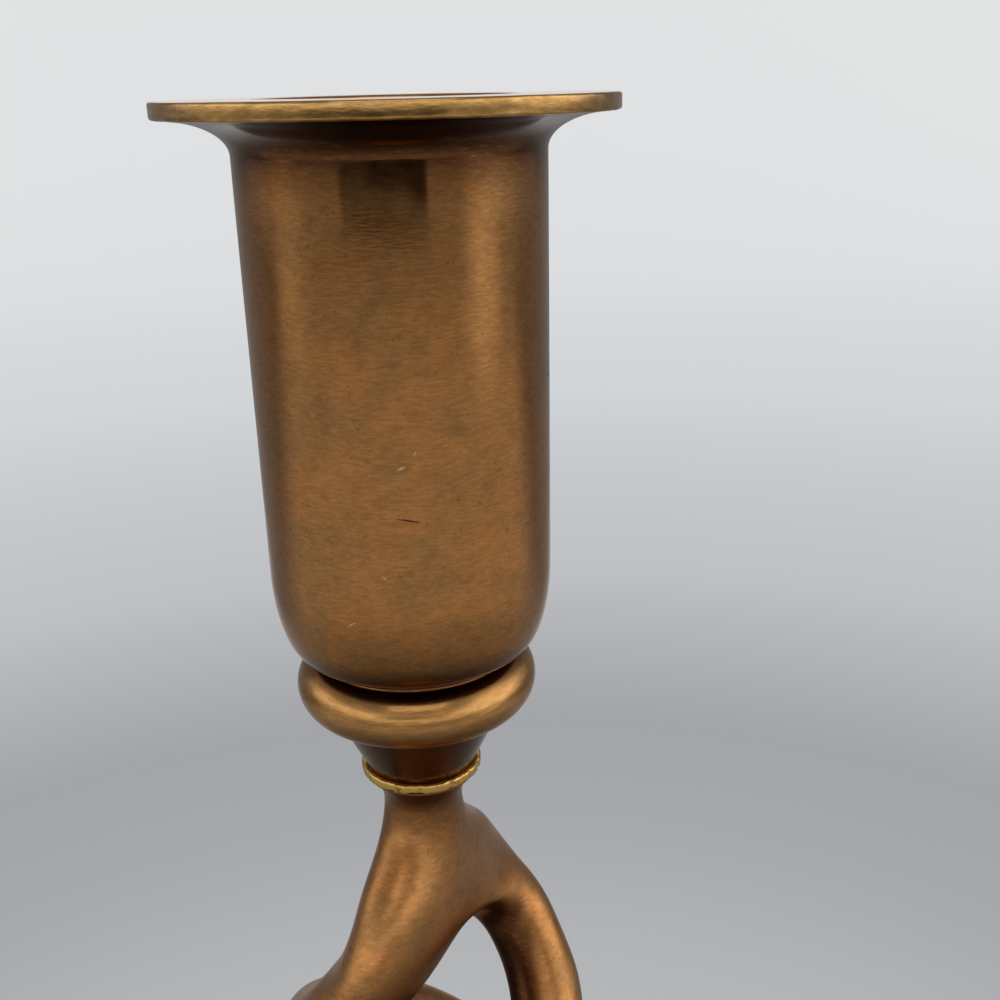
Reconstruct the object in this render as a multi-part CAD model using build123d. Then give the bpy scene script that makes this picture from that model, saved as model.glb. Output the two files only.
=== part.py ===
from build123d import *
import os
from math import cos, pi, sin, sqrt

# Spiral candle holder: a turned candle cup on an open two-strand twist, standing on a round foot.
# Frame: +Z up, origin on the table under the middle of the foot, sizes in millimetres.

# The candle and the cup that holds it
candle_radius = 11.0
candle_clearance = 0.2
cup_wall = 2.0
cup_taper = 0.1
socket_depth = 40.0
socket_dish = 4.8
socket_floor_radius = 6.0
cup_floor = 4.5
mouth_chamfer = 0.4
cup_round_height = 8.1
cup_round_inset = 2.7

# Flange round the mouth of the cup, and the cove under it
flange_overhang = 6.1
flange_edge = 1.45
flange_edge_round = 0.25
cove_drop = 2.9

# Spigots that centre each turned piece in the next one
spigot_radius = 5.6
spigot_height = 1.4
spigot_clearance = 0.1

# Knop: a bead over an inverted cone, used once under the cup and once upside down on the foot
knop_height = 13.15
bead_radius = 11.55
bead_half = 2.9
bead_centre = 9.25
groove_radius = 9.3
neck_foot_radius = 5.5
neck_head_radius = 8.45

# Bare brass ring at each end of the twist
ring_radius = 5.95
ring_height = 0.95
ring_round = 0.25

# Screw threads, drawn at their outside size
thread_radius = 2.5
thread_clearance = 0.05
shank_clearance = 0.25
thread_depth = 8.5
tap_runout = 1.0

# Twisted column: both strands and both ends are one casting
column_length = 118.0
seat_radius = 5.65
seat_edge = 0.9
waist_radius = 3.9
waist_drop = 3.4
strand_radius = 3.95
root_swell = 0.3
twist_radius = 12.45
turn_length = 55.0
fork_drop = 13.4
fork_length = 8.4
unwind_length = 18.0
fork_sections = 6
helix_sections = 5

# Shoulder, where the round waist spreads into a flat oval and parts into the strands
crotch_drop = 20.0
shoulder_thickness = 5.2
shoulder_drop_shares = (0, 0.15, 0.31, 0.45, 0.63, 0.81, 1)
shoulder_reach_shares = (0.02, 0.03, 0.08, 0.31, 0.65, 0.83, 0.88)
shoulder_thickness_shares = (0.15, 0.2, 0.5, 1, 1, 0.85, 0.5)

# Foot: a round rim, a cove, a bead and a bell that sweeps up to the lower knop
foot_radius = 50.0
foot_height = 41.0
rim_height = 4.2
rim_edge_round = 0.4
rim_wall = 4.5
rim_land = 1.8
foot_bead_radius = 43.6
foot_bead_half = 2.9
foot_bead_height = 8.6
crown_round_height = 5.0
crown_radius = 13.1
bell_wall = 3.2
boss_radius = 11.0
boss_height = 17.0

# Fasteners under the foot
washer_radius = 7.5
washer_height = 1.2
spring_radius = 4.6
spring_height = 1.3
spring_slit = 1.0
spring_slit_angle = 20.0
nut_flats = 8.0
nut_height = 4.0
nut_round_share = 0.94
stud_end = 2.2
stud_chamfer = 0.5

# Cheese-head screw in the floor of the cup
head_radius = 4.25
head_height = 3.3
head_slot_width = 1.2
head_slot_depth = 1.6
head_round = 0.4

# Felt pad glued under the foot
felt_height = 1.5
felt_inset = 1.0

# One small overrun for every cut
overrun = 1.0

# Sizes that follow from the ones above
socket_radius = candle_radius + candle_clearance
cup_radius = socket_radius + cup_wall
cup_foot_radius = cup_radius - cup_round_inset
flange_radius = cup_radius + flange_overhang
shank_hole_radius = thread_radius + shank_clearance
tap_radius = thread_radius + thread_clearance
cup_height = cup_floor + socket_dish + socket_depth

# Heights of the seats, from the table up
foot_seat = felt_height
low_knop_seat = foot_seat + foot_height
low_ring_seat = low_knop_seat + knop_height
column_seat = low_ring_seat + ring_height
high_ring_seat = column_seat + column_length
high_knop_seat = high_ring_seat + ring_height
cup_seat = high_knop_seat + knop_height
overall_height = cup_seat + cup_height


def turned(*edges):
    """Solid of revolution about Z from an outline of radius and height."""
    return revolve(Plane.XZ * make_face(list(edges)), Axis.Z)


def disc(radius, height, bottom=0):
    """Plain round bar standing on the height called bottom."""
    return Pos(0, 0, bottom) * Cylinder(radius, height, align=(Align.CENTER, Align.CENTER, Align.MIN))


def outline(*points):
    """Straight edges through the points, one after another."""
    return [Line(a, b) for a, b in zip(points, points[1:])]


def quarter(centre, width, height, start):
    """Quarter of an ellipse of the outline, running counter-clockwise from the start angle."""
    return EllipticalCenterArc(centre, width, height, start_angle=start)


def on_circle(centre_r, centre_z, radius, r, side):
    """Height at which a circle of the outline crosses the radius r, above (+1) or below (-1) its centre."""
    return centre_z + side * sqrt(radius**2 - (r - centre_r) ** 2)


def candle_cup():
    """Cup with its flange, cove, wall, rounded bottom, candle socket, spigot and screw hole."""
    under_flange = cup_height - flange_edge
    wall_top = (cup_radius, under_flange - cove_drop)
    wall_foot = (cup_radius - cup_taper, cup_round_height)
    rim_low, rim_high = (flange_radius, under_flange), (flange_radius, cup_height)
    mouth_out = (socket_radius + mouth_chamfer, cup_height)
    mouth_in = (socket_radius, cup_height - mouth_chamfer)
    dish_top = (socket_radius, cup_floor + socket_dish)
    dish_floor = (socket_floor_radius, cup_floor)
    cove = quarter((flange_radius, wall_top[1]), flange_overhang, cove_drop, 90)
    bottom = quarter((cup_foot_radius, cup_round_height), wall_foot[0] - cup_foot_radius, cup_round_height, 270)
    dish = quarter((socket_floor_radius, dish_top[1]), socket_radius - socket_floor_radius, socket_dish, 270)
    lower = outline(
        (shank_hole_radius, cup_floor), (shank_hole_radius, -spigot_height),
        (spigot_radius, -spigot_height), (spigot_radius, 0), (cup_foot_radius, 0))
    upper = outline(rim_low, rim_high, mouth_out, mouth_in, dish_top)
    floor = outline(dish_floor, (shank_hole_radius, cup_floor))
    cup = turned(*lower, bottom, Line(wall_foot, wall_top), cove, *upper, dish, *floor)
    rim = cup.edges().filter_by(GeomType.CIRCLE).sort_by(lambda e: e.radius)[-2:]
    return fillet(rim, flange_edge_round)


def knop():
    """Bead, groove disc and inverted cone, with the recess for the spigot on top."""
    bead_axis = bead_radius - bead_half
    neck_head = (neck_head_radius, on_circle(bead_axis, bead_centre, bead_half, neck_head_radius, -1))
    groove_foot = (groove_radius, on_circle(bead_axis, bead_centre, bead_half, groove_radius, 1))
    recess_radius = spigot_radius + spigot_clearance
    recess_floor = knop_height - spigot_height - spigot_clearance
    bead = ThreePointArc(neck_head, (bead_radius, bead_centre), groove_foot)
    neck = outline((shank_hole_radius, 0), (neck_foot_radius, 0), neck_head)
    top = outline(
        groove_foot, (groove_radius, knop_height), (recess_radius, knop_height),
        (recess_radius, recess_floor), (shank_hole_radius, recess_floor), (shank_hole_radius, 0))
    return turned(*neck, bead, *top)


def seat_ring():
    """Bare brass ring between the neck and the end of the column."""
    ring = disc(ring_radius, ring_height) - disc(shank_hole_radius, ring_height)
    edges = ring.edges().filter_by(GeomType.CIRCLE).sort_by(lambda e: e.radius)[-2:]
    return fillet(edges, ring_round)


def strand_angle(height):
    """Turn of the strands, in radians, at a height above the column's middle."""
    reach = column_length / 2 - fork_drop
    unwound = min(max(height - (reach - unwind_length), 0), unwind_length)
    return (min(height, reach) - unwound**2 / unwind_length / 2) * 2 * pi / turn_length


def strand_centre(height, start_angle):
    """Point of a strand's centreline above the column's middle: a helix that unwinds into the shoulder."""
    fork = min(max((column_length / 2 - fork_drop - height) / fork_length, 0), 1)
    radius = twist_radius * sin(fork * pi / 2)
    angle = start_angle + strand_angle(height)
    return Vector(radius * cos(angle), radius * sin(angle), height)


def strand_section(height, start_angle):
    """Circle square to the centreline, larger towards the root of the strand."""
    step = strand_radius / fork_sections**2
    fork = min(max((column_length / 2 - fork_drop - height) / fork_length, 0), 1)
    centre = strand_centre(height, start_angle)
    along = strand_centre(height + step, start_angle) - strand_centre(height - step, start_angle)
    outward = Vector(centre.X, centre.Y, 0)
    plane = Plane(centre, x_dir=outward - along * (outward.dot(along) / along.dot(along)), z_dir=along)
    return plane * Circle(strand_radius + root_swell * cos(fork * pi / 2) ** 2)


def strand_middle(start_angle):
    """Even helix between the two unwinding ends of a strand."""
    half = column_length / 2 - fork_drop - unwind_length
    path = Rot(0, 0, start_angle) * Pos(0, 0, -half) * Helix(turn_length, 2 * half, twist_radius)
    section = Plane(path @ 0, z_dir=path % 0) * Circle(strand_radius)
    return sweep(section, path, is_frenet=True)


def strand_top(start_angle):
    """Upper end of a strand, which unwinds and closes in on the axis until it is inside the shoulder."""
    reach = column_length / 2 - fork_drop
    foot, fork_foot = reach - unwind_length, reach - fork_length
    unwinding = [foot + (fork_foot - foot) * i / helix_sections for i in range(helix_sections)]
    closing = [fork_foot + fork_length * sin(i / fork_sections * pi / 2) for i in range(fork_sections - 1)]
    return loft([strand_section(height, start_angle) for height in unwinding + closing])


def shoulder():
    """Oval sections that spread from the waist and turn with the strands, down to where they part."""
    outer = twist_radius + strand_radius
    sections = []
    shares = zip(shoulder_drop_shares, shoulder_reach_shares, shoulder_thickness_shares)
    for drop_share, reach_share, thickness_share in shares:
        height = column_length / 2 - waist_drop - (crotch_drop - waist_drop) * drop_share
        reach = waist_radius + (outer - waist_radius) * reach_share
        thickness = waist_radius + (shoulder_thickness - waist_radius) * thickness_share
        turn = Rot(0, 0, strand_angle(height) * 180 / pi)
        sections.append(Pos(0, 0, height) * turn * Ellipse(reach, thickness))
    return loft(sections)


def column_end():
    """Seat for the ring, and the cone that runs in to the waist."""
    end = column_length / 2
    waist = (waist_radius, end - waist_drop)
    return turned(*outline(
        (0, end), (seat_radius, end), (seat_radius, end - seat_edge), waist, (0, waist[1]), (0, end)))


def twist_column():
    """Both strands and both ends in one, with a tapped hole in each end."""
    half = column_length / 2 - fork_drop - unwind_length
    start_angle = -half / turn_length * 360
    hole = disc(tap_radius, thread_depth + tap_runout + overrun, column_length / 2 - thread_depth - tap_runout)
    cap = column_end() + shoulder() + strand_top(0) + strand_top(pi) - hole
    return cap + Rot(180, 0, 0) * cap + strand_middle(start_angle) + strand_middle(start_angle + 180)


def foot():
    """Hollow bell-shaped foot with a boss for the stud under its crown."""
    bead_axis = foot_bead_radius - foot_bead_half
    bell_foot_height = foot_bead_height + foot_bead_half
    crown_foot = (crown_radius, foot_height - crown_round_height)
    bell_foot = (bead_axis, bell_foot_height)
    sweep_width, sweep_height = bead_axis - crown_radius, crown_foot[1] - bell_foot_height
    bead_low_radius = bead_axis + (foot_bead_radius - bead_axis) / 2
    bead_low = (bead_low_radius, on_circle(bead_axis, foot_bead_height, foot_bead_half, bead_low_radius, -1))
    recess_radius = spigot_radius + spigot_clearance
    crown = quarter((cup_foot_radius, crown_foot[1]), crown_radius - cup_foot_radius, crown_round_height, 0)
    sweep = quarter((bead_axis, crown_foot[1]), sweep_width, sweep_height, 180)
    bead = ThreePointArc(bell_foot, (foot_bead_radius, foot_bead_height), bead_low)
    rim_top = (foot_radius, rim_height)
    cavity_rim = (foot_radius - rim_wall, 0)
    cavity_land = (cavity_rim[0], rim_land)
    inner_width, inner_height = sweep_width + bell_wall, sweep_height + bell_wall
    roof_foot = (bead_axis, crown_foot[1] - inner_height)
    reach = bead_axis - boss_radius
    roof_top = (boss_radius, crown_foot[1] - inner_height * sqrt(1 - (reach / inner_width) ** 2))
    roof = ThreePointArc(
        roof_top,
        (bead_axis - inner_width * sqrt(0.5), crown_foot[1] - inner_height * sqrt(0.5)),
        roof_foot)
    boss_foot = foot_height - boss_height
    spigot_top = foot_height + spigot_height
    upper = outline(
        (shank_hole_radius, boss_foot), (shank_hole_radius, spigot_top), (spigot_radius, spigot_top),
        (spigot_radius, foot_height), (cup_foot_radius, foot_height))
    rim = outline(bead_low, rim_top, (foot_radius, 0), cavity_rim, cavity_land, roof_foot)
    boss = outline(roof_top, (boss_radius, boss_foot), (shank_hole_radius, boss_foot))
    body = turned(*upper, crown, sweep, bead, *rim, roof, *boss)
    corners = body.edges().filter_by(GeomType.CIRCLE).sort_by(lambda e: e.radius)[-2:]
    return fillet(corners, rim_edge_round)


def cup_screw():
    """Cheese-head screw, its head seat at height zero and its shank pointing down into the column."""
    length = cup_floor + knop_height + ring_height + thread_depth
    head = disc(head_radius, head_height)
    slot_height = head_slot_depth + overrun
    slot = Pos(0, 0, head_height - head_slot_depth + slot_height / 2) * Box(
        2 * (head_radius + overrun), head_slot_width, slot_height)
    top = head.edges().filter_by(GeomType.CIRCLE).sort_by(Axis.Z)[-1:]
    shank = disc(thread_radius, length, -length)
    tip = shank.edges().filter_by(GeomType.CIRCLE).sort_by(Axis.Z)[:1]
    return fillet(top, head_round) - slot + chamfer(tip, stud_chamfer)


def fastener_stack():
    """Heights, on the foot, of the washer, the spring washer, the nut and the end of the stud."""
    washer = foot_height - boss_height - washer_height
    spring = washer - spring_height
    nut = spring - nut_height
    return washer, spring, nut, nut - stud_end


def foot_stud():
    """Threaded stud from the nut under the foot up into the column."""
    bottom = fastener_stack()[3]
    length = foot_height - bottom + knop_height + ring_height + thread_depth
    rod = disc(thread_radius, length, bottom)
    return chamfer(rod.edges().filter_by(GeomType.CIRCLE), stud_chamfer)


def plain_washer():
    """Flat washer under the boss of the foot."""
    return disc(washer_radius, washer_height) - disc(shank_hole_radius, washer_height)


def spring_washer():
    """Spring washer, a ring cut through on the slant."""
    ring = disc(spring_radius, spring_height) - disc(shank_hole_radius, spring_height)
    slit = Box(spring_radius, spring_slit, 2 * spring_radius)
    place = Pos(spring_radius / 2 + shank_hole_radius / 2, 0, spring_height / 2) * Rot(spring_slit_angle, 0, 0)
    return ring - place * slit


def hex_nut():
    """Hexagon nut with the corners turned off on both faces."""
    corner = nut_flats / sqrt(3)
    blank = extrude(RegularPolygon(corner, 6), nut_height)
    drop = (corner - nut_flats / 2 * nut_round_share) / 2
    turned_off = turned(*outline(
        (0, 0), (nut_flats / 2 * nut_round_share, 0), (corner, drop), (corner, nut_height - drop),
        (nut_flats / 2 * nut_round_share, nut_height), (0, nut_height), (0, 0)))
    return (blank & turned_off) - disc(tap_radius, nut_height)


def felt_pad():
    """Round felt pad, glued to the rim and closing the hollow of the foot."""
    return disc(foot_radius - felt_inset, felt_height)


def placed(solid, height, turn=0):
    """The solid lifted to its seat, turned over first where turn is 180."""
    return Pos(0, 0, height) * Rot(turn, 0, 0) * solid


def assembly():
    """Every piece in its place, under the name of its node."""
    washer, spring, nut, _ = fastener_stack()
    return {
        "candle_cup": placed(candle_cup(), cup_seat),
        "cup_screw": placed(cup_screw(), cup_seat + cup_floor),
        "upper_knop": placed(knop(), high_knop_seat),
        "upper_seat_ring": placed(seat_ring(), high_ring_seat),
        "twist_column": placed(twist_column(), column_seat + column_length / 2),
        "lower_seat_ring": placed(seat_ring(), low_ring_seat),
        "lower_knop": placed(knop(), low_knop_seat + knop_height, 180),
        "bell_foot": placed(foot(), foot_seat),
        "foot_stud": placed(foot_stud(), foot_seat),
        "foot_washer": placed(plain_washer(), foot_seat + washer),
        "spring_washer": placed(spring_washer(), foot_seat + spring),
        "foot_nut": placed(hex_nut(), foot_seat + nut),
        "felt_pad": placed(felt_pad(), 0),
    }


os.makedirs("parts", exist_ok=True)
for name, solid in assembly().items():
    export_step(solid, "parts/" + name + ".step")
print("overall height", round(overall_height, 2), "across the foot", 2 * foot_radius)
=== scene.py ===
import bmesh
import bpy
from math import atan2, ceil, cos, degrees, hypot, pi, radians, sin, sqrt
from mathutils import Matrix, Vector, noise


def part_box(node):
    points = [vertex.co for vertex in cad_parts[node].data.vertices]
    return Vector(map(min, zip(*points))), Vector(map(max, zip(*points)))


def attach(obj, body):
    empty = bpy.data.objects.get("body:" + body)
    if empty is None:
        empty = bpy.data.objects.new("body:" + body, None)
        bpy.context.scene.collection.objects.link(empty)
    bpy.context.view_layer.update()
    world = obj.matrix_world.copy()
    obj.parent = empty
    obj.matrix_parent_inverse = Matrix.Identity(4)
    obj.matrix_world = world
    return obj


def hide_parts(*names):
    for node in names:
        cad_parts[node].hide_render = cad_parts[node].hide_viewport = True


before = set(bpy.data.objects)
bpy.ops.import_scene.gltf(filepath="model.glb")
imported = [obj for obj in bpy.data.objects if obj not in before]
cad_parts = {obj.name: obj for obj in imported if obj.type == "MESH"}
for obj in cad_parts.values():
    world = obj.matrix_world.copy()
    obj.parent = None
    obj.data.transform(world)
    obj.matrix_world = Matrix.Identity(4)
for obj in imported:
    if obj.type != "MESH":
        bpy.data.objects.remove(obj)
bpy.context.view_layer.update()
mm = 0.001


# Camera, seen as the photograph was taken: close to the cup, a little above the rim of its
# flange, looking down by about twenty degrees and rolled slightly.
cup_low, cup_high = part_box("candle_cup")
camera_distance = 102.77 * mm
camera_rise = 0.97 * mm
camera_tilt = radians(19.66)
camera_pan = radians(4.73)
camera_roll = radians(-1.32)
focal_share = 1.1737

camera_data = bpy.data.cameras.new("photo_camera")
camera_data.sensor_width = 36
camera_data.lens = focal_share * camera_data.sensor_width
camera_data.clip_start = 1 * mm
camera = bpy.data.objects.new("photo_camera", camera_data)
bpy.context.scene.collection.objects.link(camera)
camera_aim = Matrix.Rotation(-camera_pan, 4, "Z") @ Matrix.Rotation(pi / 2 - camera_tilt, 4, "X")
camera.matrix_world = (
    Matrix.Translation((0, -camera_distance, cup_high.z + camera_rise))
    @ camera_aim
    @ Matrix.Rotation(camera_roll, 4, "Z"))
bpy.context.scene.camera = camera


# Candle cup: turned from the solid, with a wide flange, a cove under it and a rounded bottom. It
# was browned all over and rubbed with a fine pad, and the edge of the flange was filed back to
# bare brass. Its spigot sits in the knop below.
def arc(centre, width, height, start, end, steps):
    """Points of the outline on part of an ellipse, from the start angle to the end angle."""
    turns = [radians(start + (end - start) * i / steps) for i in range(steps + 1)]
    return [(centre[0] + width * cos(a), centre[1] + height * sin(a)) for a in turns]


def corner(radius, height, size, start, end):
    """Points of a rounded corner whose middle is at a radius and a height."""
    return arc((radius, height), size, size, start, end, steps=4)


def round_edge(radius, low, high, size):
    """Points up the outside of a disc, both its edges rounded by a size."""
    return (corner(radius - size, low + size, size, -90, 0)
            + corner(radius - size, high - size, size, 0, 90))


def fine_outline(points, step):
    """The outline with more points on its straight stretches, none further apart than the step."""
    fine = []
    for (r, z), (r_next, z_next) in zip(points, points[1:]):
        count = max(1, ceil(hypot(r_next - r, z_next - z) / step))
        fine += [(r + (r_next - r) * i / count, z + (z_next - z) * i / count)
                 for i in range(count)]
    return fine + [points[-1]]


def turned_mesh(points, closed=True):
    """The outline of radius and height, turned about the axis of the holder."""
    bm = bmesh.new()
    ring = [bm.verts.new((0, -r, z)) for r, z in points]
    edges = [bm.edges.new(pair) for pair in zip(ring, ring[1:] + (ring[:1] if closed else []))]
    bmesh.ops.spin(bm, geom=ring + edges, cent=(0, 0, 0), axis=(0, 0, 1), angle=2 * pi,
                   steps=round_steps, use_merge=True)
    bmesh.ops.remove_doubles(bm, verts=bm.verts[:], dist=0.001 * mm)
    bmesh.ops.recalc_face_normals(bm, faces=bm.faces[:])
    return bm


def move_edge(vert, inward, lift):
    """Moves a point of a turned edge towards the axis and up."""
    share = 1 - inward / hypot(vert.co.x, vert.co.y)
    vert.co = Vector((vert.co.x * share, vert.co.y * share, vert.co.z + lift))


def mesh_object(bm, name, material):
    """The mesh as a smooth object of the scene, in one material."""
    mesh = bpy.data.meshes.new(name)
    bm.to_mesh(mesh)
    bm.free()
    mesh.shade_smooth()
    mesh.materials.append(material)
    made = bpy.data.objects.new(name, mesh)
    bpy.context.scene.collection.objects.link(made)
    return made


def finish_piece(bm, name, material, node):
    """Makes the mesh a piece of the holder that stands for the solid of a node."""
    piece = mesh_object(bm, name, material)
    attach(piece, "root")
    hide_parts(node)
    return piece


def srgb(red, green, blue):
    """Colour as a paint chart gives it, from 0 to 255, in the linear values that shaders use."""
    def linear(value):
        share = value / 255
        return share / 12.92 if share <= 0.04045 else ((share + 0.055) / 1.055) ** 2.4
    return (linear(red), linear(green), linear(blue), 1)


def new_group(name, inputs, outputs):
    """Empty node group with the named inputs and outputs, and its two end nodes."""
    group = bpy.data.node_groups.new(name, "ShaderNodeTree")
    for label, kind, value in inputs:
        socket = group.interface.new_socket(
            name=label, in_out="INPUT", socket_type="NodeSocket" + kind)
        socket.default_value = value
    for label, kind in outputs:
        group.interface.new_socket(
            name=label, in_out="OUTPUT", socket_type="NodeSocket" + kind)
    return group, group.nodes.new("NodeGroupInput").outputs, group.nodes.new("NodeGroupOutput")


def give_out(group, end, results):
    """Links what a node group has worked out to its outputs."""
    for label, socket in results.items():
        group.links.new(socket, end.inputs[label])


def add_node(tree, kind, inputs=None, **settings):
    """Shader node with its settings, each input either a value or a socket to link from."""
    node = tree.nodes.new("ShaderNode" + kind)
    for key, value in settings.items():
        setattr(node, key, value)
    for key, value in (inputs or {}).items():
        if isinstance(value, bpy.types.NodeSocket):
            tree.links.new(value, node.inputs[key])
        else:
            node.inputs[key].default_value = value
    return node


def maths(tree, operation, *values):
    """Result of a sum on values or sockets."""
    return add_node(tree, "Math", dict(enumerate(values)), operation=operation).outputs[0]


def rest(tree, share):
    """What a share leaves of 1."""
    return maths(tree, "SUBTRACT", 1.0, share)


def ramp(tree, factor, low, high):
    """Share that goes smoothly from 0 at low to 1 at high, which may be the smaller number."""
    node = add_node(tree, "MapRange", {"Value": factor, "From Min": low, "From Max": high},
                    interpolation_type="SMOOTHSTEP")
    return node.outputs["Result"]


def spread(tree, factor, low, high):
    """Number between low and high, as the factor goes from 0 to 1."""
    node = add_node(tree, "MapRange", {"Value": factor, "To Min": low, "To Max": high})
    return node.outputs["Result"]


def blend_colours(tree, factor, first, second, mode="MIX"):
    """Two colours mixed by the factor."""
    node = add_node(tree, "Mix", {"Factor": factor, "A": first, "B": second},
                    data_type="RGBA", blend_type=mode)
    return node.outputs["Result"]


def object_place(tree):
    """Coordinates of the object itself."""
    return add_node(tree, "TexCoord").outputs["Object"]


def length_of(tree, vector):
    """Length of a vector."""
    return add_node(tree, "VectorMath", {0: vector}, operation="LENGTH").outputs["Value"]


def place_parts(tree):
    """X, Y and Z of a spot, and its distance from the axis of the holder."""
    parts = add_node(tree, "SeparateXYZ", {"Vector": object_place(tree)}).outputs
    flat = add_node(tree, "CombineXYZ", {"X": parts["X"], "Y": parts["Y"]})
    return parts, length_of(tree, flat.outputs["Vector"])


def placed_noise(tree, scale, detail, roughness=0.5, stretch=(1, 1, 1), turn=0.0, distortion=0.0):
    """Noise on object coordinates, finer along an axis where its stretch is larger."""
    mapping = add_node(tree, "Mapping", {
        "Vector": object_place(tree), "Scale": stretch, "Rotation": (0, turn, 0)})
    node = add_node(tree, "TexNoise", {
        "Vector": mapping.outputs["Vector"], "Scale": scale, "Detail": detail,
        "Roughness": roughness, "Distortion": distortion})
    return node.outputs["Fac"]


def make_patina_group():
    """Colour of the browned brass: warm and olive clouds, darker by the recess share, which carries
    kept patina and painted shade.
    """
    group, given, end = new_group(
        "browned brass clouds",
        [("Warm", "Color", brown_warm), ("Olive", "Color", brown_olive),
         ("Dark", "Color", brown_dark), ("Drift Amount", "Float", 0.25), ("Recess", "Float", 0.0)],
        [("Color", "Color"), ("Clouds", "Float")])
    clouds = placed_noise(group, scale=150, detail=5, roughness=0.6, distortion=0.4)
    drifts = placed_noise(group, scale=520, detail=6, roughness=0.65, stretch=(1, 1, 1.4))
    specks = placed_noise(group, scale=2600, detail=2, roughness=0.6)
    cloud_mask = ramp(group, clouds, 0.36, 0.66)
    drift_mask = maths(group, "MULTIPLY", ramp(group, drifts, 0.46, 0.76), given["Drift Amount"])
    speck_mask = maths(group, "MULTIPLY", ramp(group, specks, 0.62, 0.74), speck_amount)
    colour = blend_colours(group, cloud_mask, given["Warm"], given["Olive"])
    for mask in (drift_mask, speck_mask, given["Recess"]):
        colour = blend_colours(group, mask, colour, given["Dark"])
    give_out(group, end, {"Color": colour, "Clouds": cloud_mask})
    return group


def make_rubbing_group():
    """Fine scratches of the finishing pad, which run round the piece, and short cross strokes."""
    group, given, end = new_group(
        "rubbing marks", [("Round", "Float", 0.7), ("Across", "Float", 0.3)],
        [("Height", "Float"), ("Strokes", "Float"), ("Grain", "Float")])
    long_marks = placed_noise(group, scale=300, detail=3, roughness=0.7, stretch=(1, 1, 18))
    short_marks = placed_noise(group, scale=1100, detail=3, roughness=0.6, stretch=(1, 1, 5),
                               turn=rubbing_turn, distortion=0.3)
    round_marks = maths(group, "MULTIPLY", long_marks, given["Round"])
    cross_marks = maths(group, "MULTIPLY", short_marks, given["Across"])
    height = maths(group, "ADD", round_marks, cross_marks)
    total = maths(group, "ADD", given["Round"], given["Across"])
    give_out(group, end, {
        "Height": height,
        "Strokes": ramp(group, short_marks, 0.55, 0.75),
        "Grain": ramp(group, maths(group, "DIVIDE", height, total), 0.36, 0.64)})
    return group


def make_reach_group():
    """Masks of the piece's own shape: how far a spot is from the axis, and how high it is."""
    group, given, end = new_group(
        "reach and height",
        [("Near", "Float", 0.0), ("Far", "Float", 1.0), ("Low", "Float", 0.0),
         ("High", "Float", 1.0)],
        [("Reach", "Float"), ("Height", "Float")])
    parts, distance = place_parts(group)
    give_out(group, end, {
        "Reach": ramp(group, distance, given["Near"], given["Far"]),
        "Height": ramp(group, parts["Z"], given["Low"], given["High"])})
    return group


brown_warm = srgb(172, 118, 68)
brown_olive = srgb(156, 113, 68)
brown_dark = srgb(82, 50, 30)
bare_gold = srgb(190, 147, 90)
bare_olive = srgb(158, 121, 68)
scuff = srgb(198, 166, 118)
speck_amount = 0.4
stroke_amount = 0.14
grain_shades = (0.88, 1.1)
cloud_roughness = (-0.03, 0.06)
rubbing_turn = 0.3
file_depth = 3.0
nick_depth = -4.0

patina_group = make_patina_group()
rubbing_group = make_rubbing_group()
reach_group = make_reach_group()


def use_group(tree, group, values):
    """The outputs of a node group placed in a material with its own values."""
    return add_node(tree, "Group", values, node_tree=group).outputs


def reach_mask(tree, near, far):
    """Share that goes from 0 to 1 between two distances from the axis."""
    return use_group(tree, reach_group, {"Near": near, "Far": far})["Reach"]


def height_mask(tree, low, high):
    """Share that goes from 0 at one height to 1 at the other."""
    return use_group(tree, reach_group, {"Low": low, "High": high})["Height"]


def new_material(name, settings=None):
    """Material, its tree and its shader, with the settings on the shader's sockets."""
    material = bpy.data.materials.new(name)
    material.use_nodes = True
    shader = material.node_tree.nodes["Principled BSDF"]
    for key, value in (settings or {}).items():
        shader.inputs[key].default_value = value
    return material, material.node_tree, shader


def dress(tree, shader, colour, height, depth):
    """Gives the shader its colour, and bumps that rise by the depth where the height is 1."""
    bump = add_node(tree, "Bump", {"Height": height, "Distance": depth, "Strength": 1.0})
    tree.links.new(colour, shader.inputs["Base Color"])
    tree.links.new(bump.outputs["Normal"], shader.inputs["Normal"])


def nick_mask(tree, place, turn, size):
    """One small nick or scratch of a size, at a place on the surface."""
    spot = add_node(tree, "Mapping", {
        "Vector": object_place(tree), "Location": place, "Rotation": (0, turn, 0),
        "Scale": size}, vector_type="TEXTURE")
    ragged = placed_noise(tree, scale=5200, detail=2)
    uneven = maths(tree, "ADD", length_of(tree, spot.outputs["Vector"]), ragged)
    return ramp(tree, uneven, 1.45, 0.95)


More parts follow.
